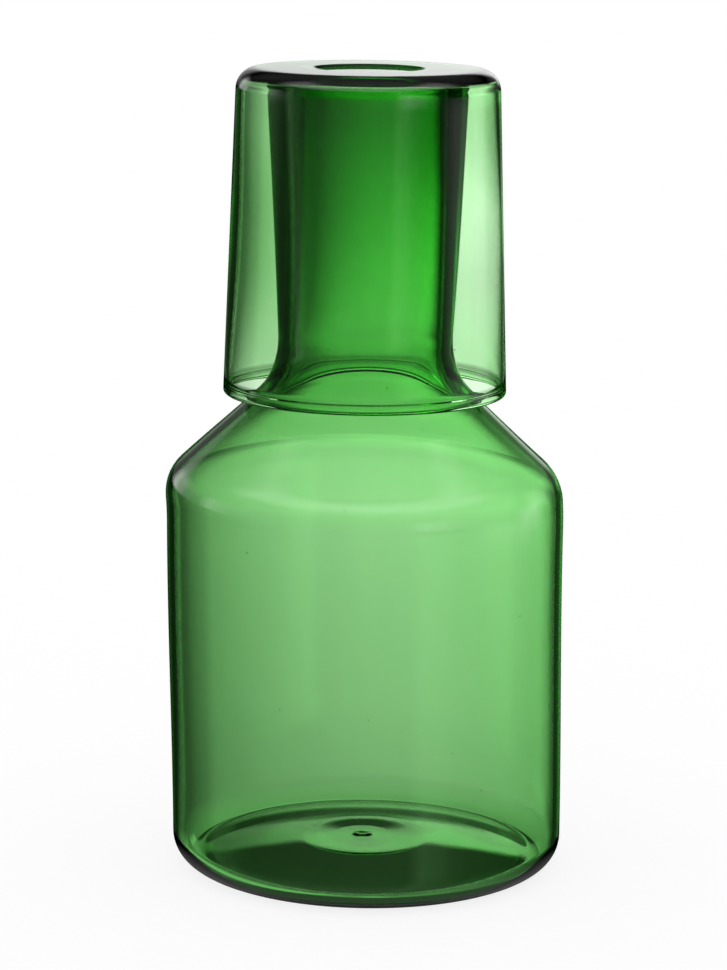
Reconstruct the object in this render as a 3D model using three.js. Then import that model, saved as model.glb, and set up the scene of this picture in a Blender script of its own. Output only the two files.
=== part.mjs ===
// A bedside carafe of green blown glass, and the tumbler that stands upside down on its neck as a lid.
// Millimetres, +Z up. The origin is on the axis, in the plane that the carafe stands on.
import * as THREE from "three";

// Carafe, outside of the glass
const BODY_DIAMETER = 99.6; // at the shoulder corner
const FOOT_DIAMETER = 98.6; // at the foot corner: the body narrows a little downwards
const SHOULDER_HEIGHT = 99.3; // of the shoulder corner
const SHOULDER_ANGLE = 42.6; // of the shoulder cone, in degrees above level
const SHOULDER_ROUNDING = 12;
const FOOT_ROUNDING = 7.4;
const THROAT_DIAMETER = 42.6; // where the lines of the neck and the shoulder meet
const THROAT_ROUNDING = 20;
const NECK_LENGTH = 72.68; // from there to the mouth
const MOUTH_DIAMETER = 50;
const MOUTH_ROUNDING = 1.2;

// Carafe, inside of the glass: it gets thicker up the neck, so the bore is almost straight
const BODY_WALL = 1.8;
const THROAT_WALL = 2.4;
const MOUTH_WALL = 5.2;
const FOOT_ROUNDING_INSIDE = 5.6;
const SHOULDER_ROUNDING_INSIDE = 10.2;
const THROAT_ROUNDING_INSIDE = 17;

// Carafe, base from the axis outwards, as [radius, height, rounding]: domed, with a dimple, and a bead in the dimple
const CARAFE_UNDERSIDE = [[0, 2.8, 0], [8, 2.75, 8], [15.5, 3, 10], [28, 2, 80], [39, 0, 1]];
const CARAFE_INSIDE = [
  [0, 5.25, 0],
  [0.9, 5.25, 0.3],
  [1.9, 5.05, 0.5],
  [7.5, 5.07, 3],
  [15.5, 5.3, 40],
  [30, 4.4, 200],
];
const CARAFE_FLOOR = 1.6; // height at which the floor runs into the wall

// Tumbler, as it stands on a table, with its base given in the same way
const TUMBLER_FLARE = 2.9; // how much the radius grows from the foot to the rim
const TUMBLER_FOOT_ROUNDING = 5.4;
const TUMBLER_FOOT_WALL = 1.45;
const TUMBLER_RIM_WALL = 1.15;
const TUMBLER_FOOT_ROUNDING_INSIDE = 2;
const TUMBLER_UNDERSIDE = [[0, 0.7, 0], [13.1, 0.7, 0.4], [14, 0, 0.4]];
const TUMBLER_INSIDE = [[0, 3.2, 0], [10, 3.2, 14], [17, 2.4, 14]];
const TUMBLER_FLOOR = 2.4;

// Tumbler, the bead that the flame draws its rim into
const RIM_BEAD = 1.9;
const RIM_BEAD_HEIGHT = 3.2;
const RIM_ROUND_SHARE = 0.98; // of half the bead
const BEAD_ROUNDING_BELOW = 2;
const BEAD_ROUNDING_WALL = 4;

// How the tumbler sits over the neck
const SEAT_CLEARANCE = 0.3; // between its floor and the mouth
const MOUTH_CLEARANCE = 5.95; // between its wall and the mouth, all round
const RIM_CLEARANCE = 7.7; // between its rim and the shoulder, straight down

// How round the glass is
const TURN_SEGMENTS = 64;
const ARC_SAG = 0.1; // the most that a facet stands off the true arc

const SHOULDER_RISE = Math.tan(THREE.MathUtils.degToRad(SHOULDER_ANGLE));

/** Height of the shoulder cone's line at a radius. */
function shoulderHeightAt(radius) {
  return SHOULDER_HEIGHT + (BODY_DIAMETER / 2 - radius) * SHOULDER_RISE;
}

/** Where the line through a and b crosses the line through c and d. */
function crossing([a, b], [c, d]) {
  const first = b.clone().sub(a);
  const second = d.clone().sub(c);
  const share = c.clone().sub(a).cross(second) / first.cross(second);
  return a.clone().addScaledVector(first, share);
}

/** The level line at a height. */
function levelLine(height) {
  return [new THREE.Vector2(0, height), new THREE.Vector2(1, height)];
}

/** A side of the outside, from start to end, moved into the vessel by the thickness of its glass at each end. */
function insideOf(start, end, startWall, endWall) {
  const inwards = end.clone().sub(start).normalize().rotateAround(new THREE.Vector2(), Math.PI / 2);
  return [start.clone().addScaledVector(inwards, startWall), end.clone().addScaledVector(inwards, endWall)];
}

/** +1 where the outline turns away from the vessel's inside at this corner, as at the throat, and -1 elsewhere. */
function turnOutwards(before, corner, after) {
  return Math.sign(before.clone().sub(corner).cross(after.clone().sub(corner)));
}

/** The arc that rounds a corner. */
function roundedCorner(before, corner, after, rounding) {
  const back = before.clone().sub(corner).normalize();
  const ahead = after.clone().sub(corner).normalize();
  const half = Math.acos(back.dot(ahead)) / 2;
  const centre = back.clone().add(ahead).setLength(rounding / Math.sin(half)).add(corner);
  const start = corner.clone().addScaledVector(back, rounding / Math.tan(half));
  const sweep = (2 * half - Math.PI) * turnOutwards(before, corner, after);
  const steps = Math.ceil(Math.abs(sweep) / (2 * Math.acos(1 - ARC_SAG / rounding)));
  return Array.from({ length: steps + 1 }, (_, i) => start.clone().rotateAround(centre, (sweep * i) / steps));
}

/** The points of an outline given as corners [point, rounding], where no rounding leaves a corner sharp. */
function roundedOutline(corners) {
  return corners.flatMap(([corner, rounding], i) =>
    rounding ? roundedCorner(corners[i - 1][0], corner, corners[i + 1][0], rounding) : [corner],
  );
}

/** The corners of one face of a base. */
function baseCorners(profile) {
  return profile.map(([radius, height, rounding]) => [new THREE.Vector2(radius, height), rounding]);
}

/** The lip of the neck, flat with rounded edges, from the outside of the glass to the inside. */
function flatRim(edge, side) {
  return [
    [edge, MOUTH_ROUNDING],
    [crossing(side, levelLine(edge.y)), MOUTH_ROUNDING],
  ];
}

/** A rim that stands into the vessel as a round bead, and runs out into its thin wall. */
function beadedRim(edge, side) {
  const rounding = (RIM_BEAD / 2) * RIM_ROUND_SHARE;
  const inner = edge.x - RIM_BEAD;
  return [
    [edge, rounding],
    [new THREE.Vector2(inner, edge.y), rounding],
    [new THREE.Vector2(inner, edge.y - RIM_BEAD), BEAD_ROUNDING_BELOW],
    [crossing(side, levelLine(edge.y - RIM_BEAD_HEIGHT)), BEAD_ROUNDING_WALL],
  ];
}

/**
 * A blown vessel standing on z = 0. corners are those of its outside from the foot to the rim, each as [point, rounding,
 * rounding inside], and walls the thickness of the glass at each of them. underside and inside are the faces of its
 * base, floor is the height at which the inside meets the wall, and rim makes the corners of the rim.
 */
function vessel({ corners, walls, underside, inside, floor, rim }) {
  const points = corners.map(([point]) => point);
  const sides = points.slice(1).map((end, i) => insideOf(points[i], end, walls[i], walls[i + 1]));
  const below = [levelLine(floor), ...sides];
  const hollow = sides.map((side, i) => [crossing(below[i], side), corners[i][2]]);
  const outline = roundedOutline([
    ...baseCorners(underside),
    ...corners.slice(0, -1),
    ...rim(points.at(-1), sides.at(-1)),
    ...hollow.reverse(),
    ...baseCorners(inside).reverse(),
  ]);
  return new THREE.LatheGeometry(outline, TURN_SEGMENTS).rotateX(Math.PI / 2);
}

// Where the carafe's lines meet
const throatHeight = shoulderHeightAt(THROAT_DIAMETER / 2);
const mouthHeight = throatHeight + NECK_LENGTH;

const carafe = new THREE.Mesh(
  vessel({
    corners: [
      [new THREE.Vector2(FOOT_DIAMETER / 2, 0), FOOT_ROUNDING, FOOT_ROUNDING_INSIDE],
      [new THREE.Vector2(BODY_DIAMETER / 2, SHOULDER_HEIGHT), SHOULDER_ROUNDING, SHOULDER_ROUNDING_INSIDE],
      [new THREE.Vector2(THROAT_DIAMETER / 2, throatHeight), THROAT_ROUNDING, THROAT_ROUNDING_INSIDE],
      [new THREE.Vector2(MOUTH_DIAMETER / 2, mouthHeight)],
    ],
    walls: [BODY_WALL, BODY_WALL, THROAT_WALL, MOUTH_WALL],
    underside: CARAFE_UNDERSIDE,
    inside: CARAFE_INSIDE,
    floor: CARAFE_FLOOR,
    rim: flatRim,
  }),
  new THREE.MeshStandardMaterial({ color: 0x4fa352, roughness: 0.04, metalness: 0, transparent: true, opacity: 0.6 }),
);
carafe.name = "carafe";

// The tumbler's own sizes, from the neck that it goes over
const tumblerFootRadius = MOUTH_DIAMETER / 2 + MOUTH_CLEARANCE + TUMBLER_FOOT_WALL;
const tumblerRimRadius = tumblerFootRadius + TUMBLER_FLARE;
const tumblerTop = mouthHeight + SEAT_CLEARANCE + TUMBLER_FLOOR;
const tumblerHeight = tumblerTop - shoulderHeightAt(tumblerRimRadius) - RIM_CLEARANCE;

const tumbler = new THREE.Mesh(
  vessel({
    corners: [
      [new THREE.Vector2(tumblerFootRadius, 0), TUMBLER_FOOT_ROUNDING, TUMBLER_FOOT_ROUNDING_INSIDE],
      [new THREE.Vector2(tumblerRimRadius, tumblerHeight)],
    ],
    walls: [TUMBLER_FOOT_WALL, TUMBLER_RIM_WALL],
    underside: TUMBLER_UNDERSIDE,
    inside: TUMBLER_INSIDE,
    floor: TUMBLER_FLOOR,
    rim: beadedRim,
  }),
  new THREE.MeshStandardMaterial({ color: 0x8fcf8d, roughness: 0.04, metalness: 0, transparent: true, opacity: 0.4 }),
);
tumbler.name = "tumbler";

// Upside down on the mouth
tumbler.rotation.x = Math.PI;
tumbler.position.z = tumblerTop;

const carafeSet = new THREE.Group();
carafeSet.add(carafe, tumbler);

export default carafeSet;
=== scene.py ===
# A green blown-glass carafe with its tumbler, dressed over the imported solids. Metres, +Z up.
import math

import bpy
from mathutils import Matrix, Vector


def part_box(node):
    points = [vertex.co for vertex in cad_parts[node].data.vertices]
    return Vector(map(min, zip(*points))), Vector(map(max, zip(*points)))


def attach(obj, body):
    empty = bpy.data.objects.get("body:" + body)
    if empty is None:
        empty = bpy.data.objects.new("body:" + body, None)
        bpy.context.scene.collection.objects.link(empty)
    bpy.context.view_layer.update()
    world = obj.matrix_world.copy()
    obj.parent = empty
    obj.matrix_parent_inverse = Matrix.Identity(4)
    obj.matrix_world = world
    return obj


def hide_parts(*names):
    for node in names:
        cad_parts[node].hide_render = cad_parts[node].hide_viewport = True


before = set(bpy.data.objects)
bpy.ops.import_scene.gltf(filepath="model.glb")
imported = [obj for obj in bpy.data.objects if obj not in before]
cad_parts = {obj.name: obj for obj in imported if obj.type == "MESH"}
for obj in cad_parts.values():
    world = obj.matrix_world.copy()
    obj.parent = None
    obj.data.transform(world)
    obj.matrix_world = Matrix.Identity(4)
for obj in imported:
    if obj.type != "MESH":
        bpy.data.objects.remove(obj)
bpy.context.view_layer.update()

MM = 0.001
WHITE = (1, 1, 1, 1)

# Outside of the carafe, in millimetres, as in the solids
BODY_DIAMETER = 99.6  # at the shoulder corner
FOOT_DIAMETER = 98.6  # at the foot corner
SHOULDER_HEIGHT = 99.3
SHOULDER_ANGLE = 42.6  # of the shoulder cone, in degrees above level
SHOULDER_ROUNDING = 12
FOOT_ROUNDING = 7.4
THROAT_DIAMETER = 42.6  # where the lines of the neck and the shoulder meet
THROAT_ROUNDING = 20
MOUTH_DIAMETER = 50
MOUTH_HEIGHT = 198.19
MOUTH_ROUNDING = 1.2

# Inside of it: the thickness of the glass at the corners, and the roundings
BODY_WALL = 1.8
THROAT_WALL = 2.4
MOUTH_WALL = 5.2
FOOT_ROUNDING_INSIDE = 5.6
SHOULDER_ROUNDING_INSIDE = 10.2
THROAT_ROUNDING_INSIDE = 17

# Its base from the axis outwards, as (radius, height, rounding): the underside, and the floor inside,
# which has a small ring in its middle
CARAFE_UNDERSIDE = [(0, 2.8, 0), (8, 2.75, 8), (15.5, 3, 10), (28, 2, 80), (39, 0, 1)]
CARAFE_INSIDE = [
    (0, 5.08, 0),
    (1.4, 5.32, 0.5),
    (2.7, 5.05, 0.5),
    (7.5, 5.07, 3),
    (15.5, 5.3, 40),
    (30, 4.4, 200),
]
CARAFE_FLOOR = 1.6  # height at which the floor runs into the wall

# The tumbler, as it stands on a table, with its base given in the same way
TUMBLER_FOOT_RADIUS = 32.4
TUMBLER_FLARE = 2.9  # how much the radius grows from the foot to the rim
TUMBLER_FOOT_ROUNDING = 5.4
TUMBLER_FOOT_WALL = 1.45
TUMBLER_RIM_WALL = 1.15
TUMBLER_FOOT_ROUNDING_INSIDE = 2
TUMBLER_UNDERSIDE = [(0, 0.7, 0), (13.1, 0.7, 0.4), (14, 0, 0.4)]
TUMBLER_INSIDE = [(0, 3.2, 0), (10, 3.2, 14), (17, 2.4, 14)]
TUMBLER_FLOOR = 2.4

# The bead that the flame draws its rim into
RIM_BEAD = 1.9
RIM_BEAD_HEIGHT = 3.2
RIM_ROUND_SHARE = 0.98  # of half the bead
BEAD_ROUNDING_BELOW = 2
BEAD_ROUNDING_WALL = 4

# How finely the glass is turned
TURN_SEGMENTS = 180
ARC_STEP = math.radians(7)
ARC_STEPS_LEAST = 3
LINE_STEP = 3.0

# Hand work: how far the carafe's axis stands to the right, as (height, distance), how far the middle of
# its base lies beside the axis, and how far to the right the tumbler is hollowed
SWAY = [(0, 1.8), (88, 0.5), (105, -0.4), (124, 0), (220, 0)]
BASE_MIDDLE = Vector((-1.0, 3.2))
BASE_MIDDLE_REACH = 30  # radius from which the base is round about the axis
HOLLOW_SHIFT = 0.5
HOLLOW_FADE = 36  # height over which the shift comes in, from the floor and from the rim

# Camera, with its place in metres, and its lens and sensor in millimetres
CAMERA_PLACE = Vector((0, -0.8337, 0.2600))
CAMERA_PITCH = math.radians(11.08)
CAMERA_ROLL = math.radians(0.7)
CAMERA_LENS = 125.7
CAMERA_SENSOR = 36

# Floor, in metres, and a dark disc of it that only the glass shows: painted shade under the object, lifted by
# a faint painted glow
FLOOR_SIZE = 30
FLOOR_HEIGHT = -0.0003
FLOOR_COLOUR = (0.4, 0.4, 0.4, 1)
FLOOR_GLOW = 0.84
SHADED_RADIUS = 0.0455
SHADED_HEIGHT = -0.0004
SHADED_SEGMENTS = 96
PAINTED_SHADE_COLOUR = (0.05, 0.05, 0.05, 1)
PAINTED_SHADE_GLOW = 0.05

# Glass. Its marks are noise, as (features in a metre, detail, stretch along the axis), and what a mark does
# is a range of the noise that is spread over a range of values, as (low, high, start, end)
GLASS_IOR = 1.47
GLASS_TINT = (0.16, 0.75, 0.085, 1)
GLASS_DENSITY = 420
WAVES = (28, 1, 2)
WAVE_HEIGHT = 0.00004  # metres
STREAKS = (70, 2, 8)
STREAK_CLEARNESS = (0.35, 0.65, 0.985, 1)
SEED_SCALE = 90  # cells in a metre, with one seed in each
SEED_CLEARNESS = (0.018, 0.03, 0.35, 1)
FINGER_MARKS = (110, 4, 1)
FINGER_ROUGHNESS = (0.5, 0.75, 0, 0.03)

# White panels behind the glass: brightness across a panel, by degrees to the right of its middle, and up it,
# by degrees above level, for the one behind the main view and for the plain ones
PANEL_ACROSS = [
    (-45, 0.0),
    (-18, 0.05),
    (-15.5, 0.22),
    (-10, 0.25),
    (-6, 0.50),
    (-3, 0.78),
    (0, 0.95),
    (5, 1.12),
    (7, 1.2),
    (9, 1.4),
    (12, 1.35),
    (15, 0.8),
    (20, 0.1),
    (45, 0.05),
    (60, 0.0),
]
PANEL_UP = [
    (-90, 0.2),
    (-60, 0.35),
    (-40, 0.7),
    (-25, 0.7),
    (-18, 0.83),
    (-16, 0.9),
    (-14.7, 1.1),
    (-13, 1.23),
    (-10.5, 1.55),
    (-8, 1.33),
    (-5.1, 1.9),
    (-3.4, 1.6),
    (-1.9, 0.85),
    (-0.6, 0.5),
    (1, 0.4),
    (8, 0.4),
    (10, 1.2),
    (11.5, 3.0),
    (18.2, 3.0),
    (19.4, 0.1),
    (20.5, 0.02),
    (90, 0.0),
]
PLAIN_UP = [(-90, 0.2), (-60, 0.5), (-30, 0.9), (-10.5, 1.43), (-5.1, 1.43), (-1.9, 0.6), (1, 0.06), (5, 0.0)]

# How far a panel is turned to the right, by degrees above level
PANEL_TURN = [(-11, 0), (-9.5, -2.5), (-8, -3), (-5.4, 0), (-3, 3), (4, 0)]

# The panels, as (turn, how far it is let down, share of light, brightness up it)
PANELS = [(0, 0, 1, PANEL_UP), (-45, 17, 0.8, PLAIN_UP), (-90, -8, 0.8, PLAIN_UP), (135, 4, 0.9, PLAIN_UP)]

# Light that comes up from the floor all round, through the glass
GROUND_UP = [(-90, 0.5), (-65, 0.45), (-40, 0.2), (-25, 0.08), (-19, 0.0), (90, 0.0)]

# What the outside of the glass mirrors: the panels, a soft light over the camera, the room above and below,
# and side lights as (turn, reach, height, reach upwards, brightness)
MIRRORED_UP = [(-90, 0.0), (-1, 0.0), (2, 1.3), (14, 1.3), (22, 0.05), (90, 0.0)]
OVERHEAD_UP = [(36, 0.0), (46, 2.2), (58, 2.2), (66, 0.2)]
OVERHEAD_BACK = 0.3  # how far towards the back it fades out
ROOM_UP = [(-40, 0.32), (-25, 0.13), (-19, 0.0), (24, 0.0), (40, 0.12), (60, 0.2), (80, 0.35)]
MIRRORED_LIGHTS = [
    (70, 14, 2, 15, 1.6),
    (56, 14, 13, 11, 0.7),
    (92, 24, -5, 9, 0.8),
    (185, 60, -4, 14, 0.25),
    (180, 90, -5, 14, 0.14),
]
EDGE_STEEPNESS = 1.5  # of a side light's edge

# Light on the floor, and the level of all the light but the white that the camera sees
SOFT_LIGHT = 0.5
STUDIO_LEVEL = 0.8

# Degrees that a ramp of light covers, with level, or the middle of a panel, halfway along it
RAMP_SPAN = 180

LIGHT_BOUNCES = 40
GLOSSY_BOUNCES = 24


def crossing(first, second):
    """Where the line through two points crosses the line through two others."""
    (a, b), (c, d) = first, second
    along = b - a
    other = d - c
    share = (c - a).cross(other) / along.cross(other)
    return a + share * along


def level_line(height):
    return Vector((0, height)), Vector((1, height))


def inside_of(start, end, start_wall, end_wall):
    """A side of the outside moved into the vessel by the thickness of its glass at each end."""
    along = (end - start).normalized()
    inwards = Vector((-along.y, along.x))
    return start + start_wall * inwards, end + end_wall * inwards


def turn_outwards(before, corner, after):
    """+1 where the outline turns away from the vessel's inside, and -1 elsewhere."""
    return math.copysign(1, (before - corner).cross(after - corner))


def arc(before, corner, after, rounding):
    """The points of the arc that rounds a corner."""
    back = (before - corner).normalized()
    ahead = (after - corner).normalized()
    half = math.acos(max(-1, min(1, back.dot(ahead)))) / 2
    centre = corner + (back + ahead).normalized() * (rounding / math.sin(half))
    spoke = corner + back * (rounding / math.tan(half)) - centre
    sweep = (2 * half - math.pi) * turn_outwards(before, corner, after)
    by_angle = math.ceil(abs(sweep) / ARC_STEP)
    by_length = math.ceil(abs(sweep) * rounding / LINE_STEP)
    steps = max(ARC_STEPS_LEAST, by_angle, by_length)
    return [centre + Matrix.Rotation(sweep * i / steps, 2) @ spoke for i in range(steps + 1)]


def rounded_outline(corners):
    """An outline of corners (point, rounding), with its straight stretches cut into short steps."""
    points = []
    for i, (corner, rounding) in enumerate(corners):
        piece = arc(corners[i - 1][0], corner, corners[i + 1][0], rounding) if rounding else [corner]
        if points:
            gap = piece[0] - points[-1]
            steps = max(1, math.ceil(gap.length / LINE_STEP))
            points += [points[-1] + gap * (k / steps) for k in range(1, steps)]
        points += piece
    return points


def base_corners(profile):
    return [(Vector((radius, height)), rounding) for radius, height, rounding in profile]


def vessel_outline(corners, walls, underside, inside, floor, rim):
    """
    The outline of a vessel, from the axis under its base to the axis on its floor. corners are those of the
    outside from the foot to the rim, as (point, rounding, rounding inside), and walls the thickness of the
    glass at each. underside and inside are the faces of the base, floor is the height at which the inside
    meets the wall, and rim makes the corners of the rim.
    """
    points = [point for point, _, _ in corners]
    sides = [inside_of(*side) for side in zip(points, points[1:], walls, walls[1:])]
    below = [level_line(floor)] + sides
    hollow = [(crossing(low, side), corner[2]) for low, side, corner in zip(below, sides, corners)]
    return rounded_outline(
        base_corners(underside)
        + [(point, rounding) for point, rounding, _ in corners[:-1]]
        + rim(points[-1], sides[-1])
        + hollow[::-1]
        + base_corners(inside)[::-1]
    )


def flat_rim(top, side):
    """The lip of the neck, cut flat with rounded edges."""
    return [(top, MOUTH_ROUNDING), (crossing(side, level_line(top.y)), MOUTH_ROUNDING)]


def beaded_rim(top, side):
    """A thin rim drawn into a bead by the flame."""
    rounding = RIM_BEAD / 2 * RIM_ROUND_SHARE
    bead_inside = top - Vector((RIM_BEAD, 0))
    return [
        (top, rounding),
        (bead_inside, rounding),
        (bead_inside - Vector((0, RIM_BEAD)), BEAD_ROUNDING_BELOW),
        (crossing(side, level_line(top.y - RIM_BEAD_HEIGHT)), BEAD_ROUNDING_WALL),
    ]


def revolve(name, outline):
    """The outline turned about the axis, as a smooth closed mesh in millimetres."""
    verts = [Vector((0, 0, outline[0].y))]
    for point in outline[1:-1]:
        for k in range(TURN_SEGMENTS):
            angle = 2 * math.pi * k / TURN_SEGMENTS
            verts.append(Vector((point.x * math.cos(angle), point.x * math.sin(angle), point.y)))
    verts.append(Vector((0, 0, outline[-1].y)))
    last = len(verts) - 1
    faces = []
    rings = len(outline) - 2
    for k in range(TURN_SEGMENTS):
        after = (k + 1) % TURN_SEGMENTS
        faces.append((0, 1 + after, 1 + k))
        for ring in range(rings - 1):
            low = 1 + ring * TURN_SEGMENTS
            high = low + TURN_SEGMENTS
            faces.append((low + k, low + after, high + after, high + k))
        top = 1 + (rings - 1) * TURN_SEGMENTS
        faces.append((top + k, top + after, last))
    mesh = bpy.data.meshes.new(name)
    mesh.from_pydata(verts, [], faces)
    mesh.shade_smooth()
    piece = bpy.data.objects.new(name, mesh)
    bpy.context.scene.collection.objects.link(piece)
    return piece


def sway_at(height):
    """How far to the right the axis of the carafe stands at a height."""
    for (low, start), (high, end) in zip(SWAY, SWAY[1:]):
        if height <= high:
            share = (1 - math.cos(math.pi * max(0, height - low) / (high - low))) / 2
            return start + (end - start) * share
    return SWAY[-1][1]


def hollow_share(height, low, high):
    """How much of the tumbler's shift counts at a height: none at low and high, and all well between."""
    share = min(height - low, high - height) / HOLLOW_FADE
    share = min(max(share, 0), 1)
    return share * share * (3 - 2 * share)


def green_glass():
    """Clear glass, tinted through its thickness, with faint waves, drawn streaks, finger marks and seeds."""
    material = bpy.data.materials.new("green_glass")
    material.use_nodes = True
    nodes = material.node_tree.nodes
    links = material.node_tree.links
    place = nodes.new("ShaderNodeTexCoord").outputs["Object"]

    def noise(scale, detail, stretch):
        mapping = nodes.new("ShaderNodeMapping")
        mapping.inputs["Scale"].default_value = (1, 1, 1 / stretch)
        links.new(place, mapping.inputs["Vector"])
        texture = nodes.new("ShaderNodeTexNoise")
        texture.inputs["Scale"].default_value = scale
        texture.inputs["Detail"].default_value = detail
        links.new(mapping.outputs[0], texture.inputs["Vector"])
        return texture.outputs["Fac"]

    def spread(value, low, high, start, end):
        """The value's range from low to high, spread over start to end."""
        node = nodes.new("ShaderNodeMapRange")
        for name, number in zip(("From Min", "From Max", "To Min", "To Max"), (low, high, start, end)):
            node.inputs[name].default_value = number
        links.new(value, node.inputs["Value"])
        return node.outputs[0]

    seeds = nodes.new("ShaderNodeTexVoronoi")
    seeds.inputs["Scale"].default_value = SEED_SCALE
    links.new(place, seeds.inputs["Vector"])
    clear = nodes.new("ShaderNodeMath")
    clear.operation = "MULTIPLY"
    links.new(spread(noise(*STREAKS), *STREAK_CLEARNESS), clear.inputs[0])
    links.new(spread(seeds.outputs["Distance"], *SEED_CLEARNESS), clear.inputs[1])

    waves = nodes.new("ShaderNodeBump")
    waves.inputs["Strength"].default_value = 1
    waves.inputs["Distance"].default_value = WAVE_HEIGHT
    links.new(noise(*WAVES), waves.inputs["Height"])

    shader = nodes["Principled BSDF"]
    links.new(clear.outputs[0], shader.inputs["Base Color"])
    links.new(spread(noise(*FINGER_MARKS), *FINGER_ROUGHNESS), shader.inputs["Roughness"])
    links.new(waves.outputs[0], shader.inputs["Normal"])
    shader.inputs["IOR"].default_value = GLASS_IOR
    shader.inputs["Transmission Weight"].default_value = 1
    tint = nodes.new("ShaderNodeVolumeAbsorption")
    tint.inputs["Color"].default_value = GLASS_TINT
    tint.inputs["Density"].default_value = GLASS_DENSITY
    links.new(tint.outputs[0], nodes["Material Output"].inputs["Volume"])
    return material


def studio_world():
    """White to the camera. Glass shows white panels behind it, and mirrors soft lights."""
    world = bpy.data.worlds.new("studio")
    bpy.context.scene.world = world
    world.use_nodes = True
    nodes = world.node_tree.nodes
    links = world.node_tree.links
    nodes.clear()

    def put(value, socket):
        if isinstance(value, (int, float)):
            socket.default_value = value
        else:
            links.new(value, socket)

    def calculate(operation, *values):
        node = nodes.new("ShaderNodeMath")
        node.operation = operation
        for value, socket in zip(values, node.inputs):
            put(value, socket)
        return node.outputs[0]

    def clamped(value):
        """The value, kept from 0 to 1."""
        return calculate("MINIMUM", calculate("MAXIMUM", value, 0), 1)

    def shade(stops, degrees):
        """A value by an angle, from stops (degrees, value). A ramp holds none below 0, so they are lifted."""
        lowest = min(0, min(value for _, value in stops))
        node = nodes.new("ShaderNodeValToRGB")
        elements = node.color_ramp.elements
        while len(elements) < len(stops):
            elements.new(0.5)
        for element, (angle, value) in zip(elements, stops):
            lifted = value - lowest
            element.position = 0.5 + angle / RAMP_SPAN
            element.color = (lifted, lifted, lifted, 1)
        put(calculate("MULTIPLY_ADD", degrees, 1 / RAMP_SPAN, 0.5), node.inputs[0])
        return calculate("ADD", node.outputs[0], lowest)

    def choose(flag, value, otherwise):
        """One value where the flag is 1, and the other where it is 0."""
        node = nodes.new("ShaderNodeMix")
        put(flag, node.inputs[0])
        put(otherwise, node.inputs[2])
        put(value, node.inputs[3])
        return node.outputs[0]

    direction = nodes.new("ShaderNodeTexCoord").outputs["Generated"]
    split = nodes.new("ShaderNodeSeparateXYZ")
    links.new(direction, split.inputs[0])
    rightwards, backwards, upwards = split.outputs
    azimuth = calculate("DEGREES", calculate("ARCTAN2", rightwards, backwards))
    height = calculate("DEGREES", calculate("ARCSINE", upwards))

    def across_from(turn):
        """Degrees to the right of a turn."""
        return calculate("WRAP", calculate("SUBTRACT", azimuth, turn), 180, -180)

    def soft_edge(distance, reach):
        """1 inside the reach of a light, falling to 0 at its edge."""
        share = calculate("DIVIDE", calculate("ABSOLUTE", distance), reach)
        return clamped(calculate("MULTIPLY_ADD", share, -EDGE_STEEPNESS, EDGE_STEEPNESS))

    def side_light(turn, reach, up, reach_up, strength):
        across = soft_edge(across_from(turn), reach)
        along = soft_edge(calculate("SUBTRACT", height, up), reach_up)
        return calculate("MULTIPLY", calculate("MULTIPLY", across, along), strength)

    in_front = clamped(calculate("MULTIPLY_ADD", backwards, -1 / OVERHEAD_BACK, 1))
    overhead = calculate("MULTIPLY", shade(OVERHEAD_UP, height), in_front)
    mirrored = calculate("ADD", overhead, shade(ROOM_UP, height))
    for light in MIRRORED_LIGHTS:
        mirrored = calculate("ADD", mirrored, side_light(*light))
    seen_through = shade(GROUND_UP, height)
    for turn, let_down, share, brightness in PANELS:
        up = calculate("ADD", height, let_down)
        across = across_from(turn)
        turned = calculate("SUBTRACT", across, shade(PANEL_TURN, up))
        panel = calculate("MULTIPLY", shade(PANEL_ACROSS, turned), shade(brightness, up))
        seen_through = calculate("MULTIPLY_ADD", panel, share, seen_through)
        reflection = calculate("MULTIPLY", shade(PANEL_ACROSS, across), shade(MIRRORED_UP, height))
        mirrored = calculate("ADD", mirrored, reflection)

    path = nodes.new("ShaderNodeLightPath")
    in_glass = calculate("MAXIMUM", path.outputs["Is Glossy Ray"], path.outputs["Is Transmission Ray"])
    seen = choose(path.outputs["Is Transmission Ray"], seen_through, mirrored)
    light = calculate("MULTIPLY", choose(in_glass, seen, SOFT_LIGHT), STUDIO_LEVEL)
    light = choose(path.outputs["Is Camera Ray"], 1.0, light)
    back = nodes.new("ShaderNodeBackground")
    back.inputs["Color"].default_value = WHITE
    links.new(light, back.inputs["Strength"])
    out = nodes.new("ShaderNodeOutputWorld")
    links.new(back.outputs[0], out.inputs[0])


def floor_material(name, colour, glow):
    material = bpy.data.materials.new(name)
    material.use_nodes = True
    shader = material.node_tree.nodes["Principled BSDF"]
    shader.inputs["Base Color"].default_value = colour
    shader.inputs["Roughness"].default_value = 1
    shader.inputs["Specular IOR Level"].default_value = 0
    shader.inputs["Emission Color"].default_value = WHITE
    shader.inputs["Emission Strength"].default_value = glow
    return material


def pale_floor():
    """A wide floor, white to the camera, that takes the shadow, and painted shade under the glass."""
    bpy.ops.mesh.primitive_plane_add(size=FLOOR_SIZE, location=(0, 0, FLOOR_HEIGHT))
    floor = bpy.context.object
    floor.name = "floor"
    floor.visible_glossy = False
    floor.visible_transmission = False
    floor.data.materials.append(floor_material("pale_floor", FLOOR_COLOUR, FLOOR_GLOW))

    # painted shade: a dark disc, seen only through the glass, stands in for the floor's shade under the
    # object, and its faint glow is painted light
    bpy.ops.mesh.primitive_circle_add(
        vertices=SHADED_SEGMENTS,
        radius=SHADED_RADIUS,
        fill_type="NGON",
        location=(sway_at(0) * MM, 0, SHADED_HEIGHT),
    )
    under = bpy.context.object
    under.name = "floor_under_glass"
    under.visible_camera = False
    under.data.materials.append(floor_material("painted_shade_floor", PAINTED_SHADE_COLOUR, PAINTED_SHADE_GLOW))


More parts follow.
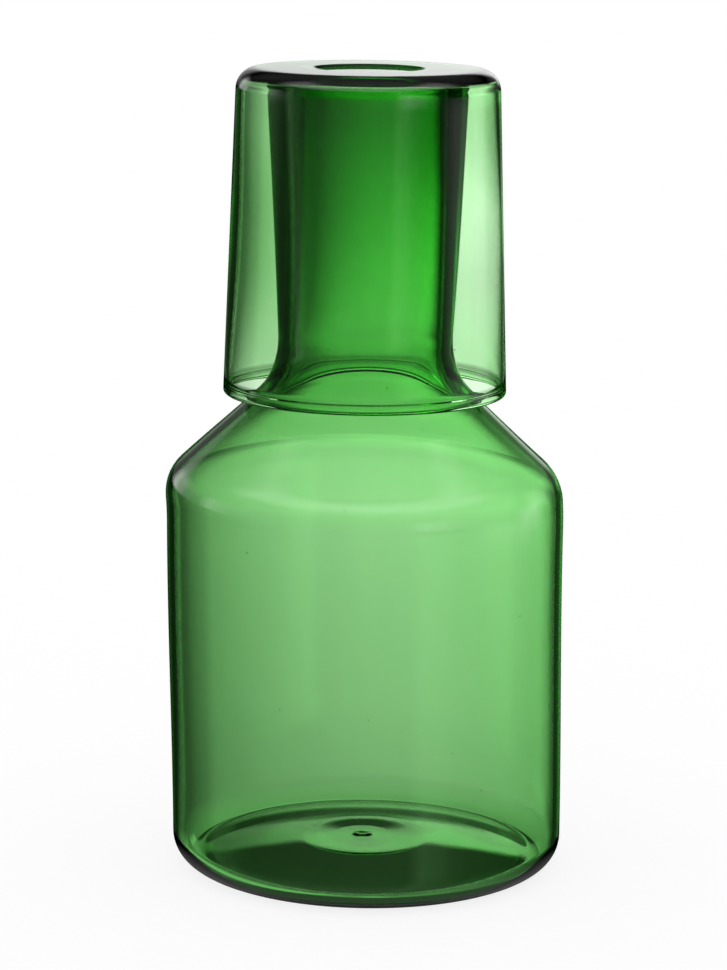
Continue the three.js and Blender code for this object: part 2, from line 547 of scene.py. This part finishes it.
def make_camera():
    data = bpy.data.cameras.new("camera")
    data.lens = CAMERA_LENS
    data.sensor_width = CAMERA_SENSOR
    camera = bpy.data.objects.new("camera", data)
    camera.location = CAMERA_PLACE
    facing = Matrix.Rotation(math.pi / 2 - CAMERA_PITCH, 3, "X") @ Matrix.Rotation(CAMERA_ROLL, 3, "Z")
    camera.rotation_euler = facing.to_euler()
    bpy.context.scene.collection.objects.link(camera)
    bpy.context.scene.camera = camera


def dress(piece, body, glass):
    """Puts a finished mesh, in millimetres, in the place of a body of the solids."""
    piece.data.transform(Matrix.Scale(MM, 4))
    piece.data.materials.append(glass)
    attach(piece, body)
    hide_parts(body)


def make_carafe(glass):
    rise = math.tan(math.radians(SHOULDER_ANGLE))
    throat = SHOULDER_HEIGHT + (BODY_DIAMETER - THROAT_DIAMETER) / 2 * rise
    corners = [
        (Vector((FOOT_DIAMETER / 2, 0)), FOOT_ROUNDING, FOOT_ROUNDING_INSIDE),
        (Vector((BODY_DIAMETER / 2, SHOULDER_HEIGHT)), SHOULDER_ROUNDING, SHOULDER_ROUNDING_INSIDE),
        (Vector((THROAT_DIAMETER / 2, throat)), THROAT_ROUNDING, THROAT_ROUNDING_INSIDE),
        (Vector((MOUTH_DIAMETER / 2, MOUTH_HEIGHT)), 0, 0),
    ]
    walls = [BODY_WALL, BODY_WALL, THROAT_WALL, MOUTH_WALL]
    outline = vessel_outline(corners, walls, CARAFE_UNDERSIDE, CARAFE_INSIDE, CARAFE_FLOOR, flat_rim)
    piece = revolve("carafe_glass", outline)
    for vertex in piece.data.vertices:
        if vertex.co.z < FOOT_ROUNDING:
            share = max(0, 1 - (vertex.co.xy.length / BASE_MIDDLE_REACH) ** 2) ** 2
            vertex.co.xy += share * BASE_MIDDLE
        vertex.co.x += sway_at(vertex.co.z)
    dress(piece, "carafe", glass)


def make_tumbler(glass):
    """The tumbler, made as it stands on a table and then turned upside down onto the neck."""
    low, high = (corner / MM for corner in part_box("tumbler"))
    height = high.z - low.z
    corners = [
        (Vector((TUMBLER_FOOT_RADIUS, 0)), TUMBLER_FOOT_ROUNDING, TUMBLER_FOOT_ROUNDING_INSIDE),
        (Vector((TUMBLER_FOOT_RADIUS + TUMBLER_FLARE, height)), 0, 0),
    ]
    walls = [TUMBLER_FOOT_WALL, TUMBLER_RIM_WALL]
    outline = vessel_outline(corners, walls, TUMBLER_UNDERSIDE, TUMBLER_INSIDE, TUMBLER_FLOOR, beaded_rim)
    piece = revolve("tumbler_glass", outline)
    for vertex in piece.data.vertices:
        depth = TUMBLER_FOOT_RADIUS + TUMBLER_FLARE * vertex.co.z / height - vertex.co.xy.length
        if depth > TUMBLER_RIM_WALL / 2:
            vertex.co.x += HOLLOW_SHIFT * hollow_share(vertex.co.z, TUMBLER_FLOOR, height)
    piece.data.transform(Matrix.Translation((0, 0, high.z)) @ Matrix.Rotation(math.pi, 4, "X"))
    dress(piece, "tumbler", glass)


scene = bpy.context.scene
scene.view_settings.view_transform = "Standard"
scene.cycles.max_bounces = LIGHT_BOUNCES
scene.cycles.transmission_bounces = LIGHT_BOUNCES
scene.cycles.glossy_bounces = GLOSSY_BOUNCES
make_camera()
studio_world()
pale_floor()
glass = green_glass()
make_carafe(glass)
make_tumbler(glass)
